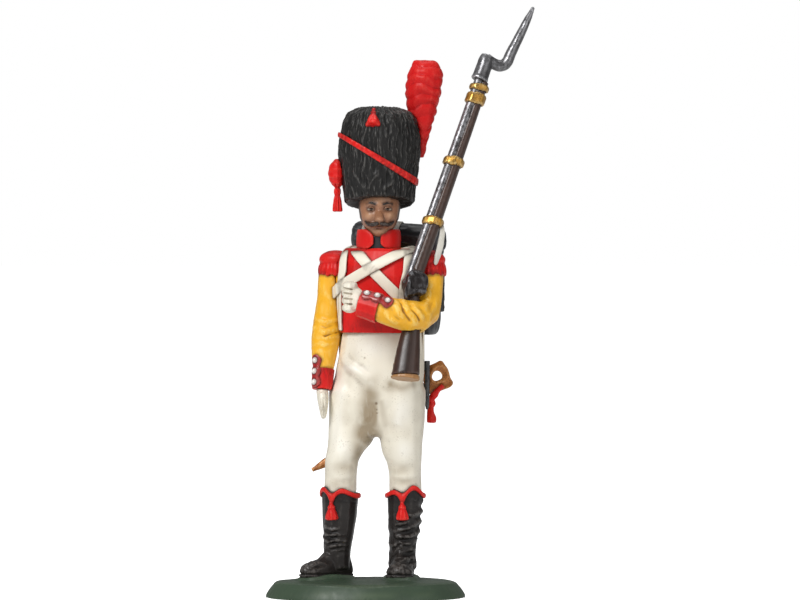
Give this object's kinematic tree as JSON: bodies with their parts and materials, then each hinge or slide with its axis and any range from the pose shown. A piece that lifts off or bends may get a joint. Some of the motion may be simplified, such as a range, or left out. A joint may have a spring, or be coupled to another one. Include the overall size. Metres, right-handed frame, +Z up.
{
  "type": "toy soldier figure",
  "caption": "Painted cast-metal grenadier figure in a tall bearskin cap with a plume, standing on an oval base with a musket held upright on the left arm.",
  "frame": {"origin": "centre of the base's underside, on the surface that the figure stands on", "axes": "+Z up, the figure faces -Y, its left hand and the musket are towards +X"},
  "size_m": [0.0391, 0.0235, 0.0856],
  "materials": {
    "earth_green_paint": "satin enamel with a dark wash",
    "boot_black_paint": "satin enamel with grey dry-brushing",
    "red_paint": "matte enamel with a dark wash",
    "cream_paint": "matte enamel with a brown wash",
    "yellow_paint": "matte enamel with a brown wash",
    "black_leather_paint": "satin enamel",
    "fur_black_paint": "matte enamel with grey dry-brushing",
    "white_strap_paint": "matte enamel",
    "flesh_paint": "matte enamel",
    "brass_paint": "metallic enamel",
    "walnut_paint": "satin enamel",
    "steel_paint": "metallic enamel over black"
  },
  "bodies": {
    "root": {"base": "earth_green_paint", "right_boot": "boot_black_paint", "left_boot": "boot_black_paint", "right_boot_trim": "red_paint", "left_boot_trim": "red_paint", "right_boot_tassel": "red_paint", "left_boot_tassel": "red_paint", "breeches": "cream_paint", "coat_body": "yellow_paint", "plastron": "red_paint", "coat_tails": "yellow_paint", "turnbacks": "red_paint", "neck_stock": "black_leather_paint", "collar": "red_paint", "right_sleeve": "yellow_paint", "left_sleeve": "yellow_paint", "right_cuff": "red_paint", "left_cuff": "red_paint", "right_cuff_flap": "red_paint", "left_cuff_flap": "red_paint", "right_cuff_buttons": "cream_paint", "left_cuff_buttons": "cream_paint", "right_glove": "cream_paint", "left_glove": "cream_paint", "right_epaulette": "red_paint", "left_epaulette": "red_paint", "sabre_belt": "cream_paint", "pouch_belt": "cream_paint", "right_pack_strap": "cream_paint", "left_pack_strap": "cream_paint", "knapsack": "black_leather_paint", "knapsack_flap": "fur_black_paint", "knapsack_buckles": "white_strap_paint", "greatcoat_roll": "black_leather_paint", "roll_straps": "white_strap_paint", "cartridge_pouch": "black_leather_paint", "head": "flesh_paint", "bearskin_cap": "fur_black_paint", "cap_cord": "red_paint", "cap_tassel": "red_paint", "cap_flounder": "red_paint", "plume": "red_paint", "sabre_hilt": "brass_paint", "sabre_scabbard": "black_leather_paint", "scabbard_chape": "brass_paint", "sword_knot": "red_paint", "bayonet_scabbard": "black_leather_paint", "sabre_frog": "cream_paint", "musket_stock": "walnut_paint", "musket_barrel": "steel_paint", "musket_bands": "brass_paint", "musket_lock": "steel_paint", "butt_plate": "brass_paint", "musket_sling": "white_strap_paint", "bayonet": "steel_paint"}
  },
  "joints": []
}
